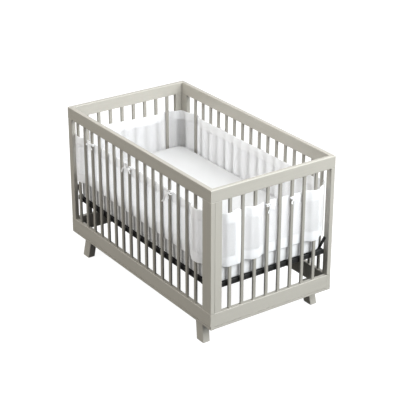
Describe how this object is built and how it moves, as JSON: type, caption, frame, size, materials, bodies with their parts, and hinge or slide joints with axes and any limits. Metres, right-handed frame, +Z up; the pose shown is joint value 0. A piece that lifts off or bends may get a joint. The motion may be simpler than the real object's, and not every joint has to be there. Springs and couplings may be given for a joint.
{
  "type": "crib bumper fitted in a slatted crib",
  "caption": "Breathable mesh crib liner woven through the slats of a standard wooden crib, tied on with ribbon bows, with the mattress in place.",
  "frame": {"origin": "on the floor, under the middle of the crib", "axes": "+X along the crib's long sides towards its right end, +Y from its front long side to its back, +Z up"},
  "size_m": [1.371, 0.766, 0.872],
  "materials": {
    "satin_paint": "satin warm grey paint over hardwood",
    "mattress_ticking": "matt off-white woven cover",
    "black_steel": "satin black powder coat",
    "liner_mesh": "sheer white polyester spacer mesh",
    "liner_trim": "soft white microfibre binding",
    "tie_ribbon": "white ribbon with a soft sheen"
  },
  "bodies": {
    "root": {"back_narrow_stile": "satin_paint", "back_slatted_rail": "satin_paint", "back_top_rail": "satin_paint", "back_wide_stile": "satin_paint", "carrier_back_bar": "black_steel", "carrier_deck": "black_steel", "carrier_front_bar": "black_steel", "carrier_left_bar": "black_steel", "carrier_right_bar": "black_steel", "carrier_strap_back_narrow": "black_steel", "carrier_strap_back_wide": "black_steel", "carrier_strap_front_narrow": "black_steel", "carrier_strap_front_wide": "black_steel", "foot_back_left": "satin_paint", "foot_back_right": "satin_paint", "foot_front_left": "satin_paint", "foot_front_right": "satin_paint", "front_narrow_stile": "satin_paint", "front_panel_bottom_binding": "liner_trim", "front_panel_first_end_band": "liner_trim", "front_panel_mesh": "liner_mesh", "front_panel_second_end_band": "liner_trim", "front_panel_top_binding": "liner_trim", "front_slatted_rail": "satin_paint", "front_top_rail": "satin_paint", "front_wide_stile": "satin_paint", "left_end_stile": "satin_paint", "left_slatted_rail": "satin_paint", "left_top_rail": "satin_paint", "mattress": "mattress_ticking", "right_end_stile": "satin_paint", "right_slatted_rail": "satin_paint", "right_top_rail": "satin_paint", "tie_01_front": "tie_ribbon", "tie_02_front": "tie_ribbon", "tie_03_front": "tie_ribbon", "tie_04_right": "tie_ribbon", "tie_05_right": "tie_ribbon", "tie_06_back": "tie_ribbon", "tie_07_back": "tie_ribbon", "tie_08_back": "tie_ribbon", "tie_09_left": "tie_ribbon", "tie_10_left": "tie_ribbon", "wrap_panel_bottom_binding": "liner_trim", "wrap_panel_first_end_band": "liner_trim", "wrap_panel_mesh": "liner_mesh", "wrap_panel_second_end_band": "liner_trim", "wrap_panel_top_binding": "liner_trim"}
  },
  "joints": []
}
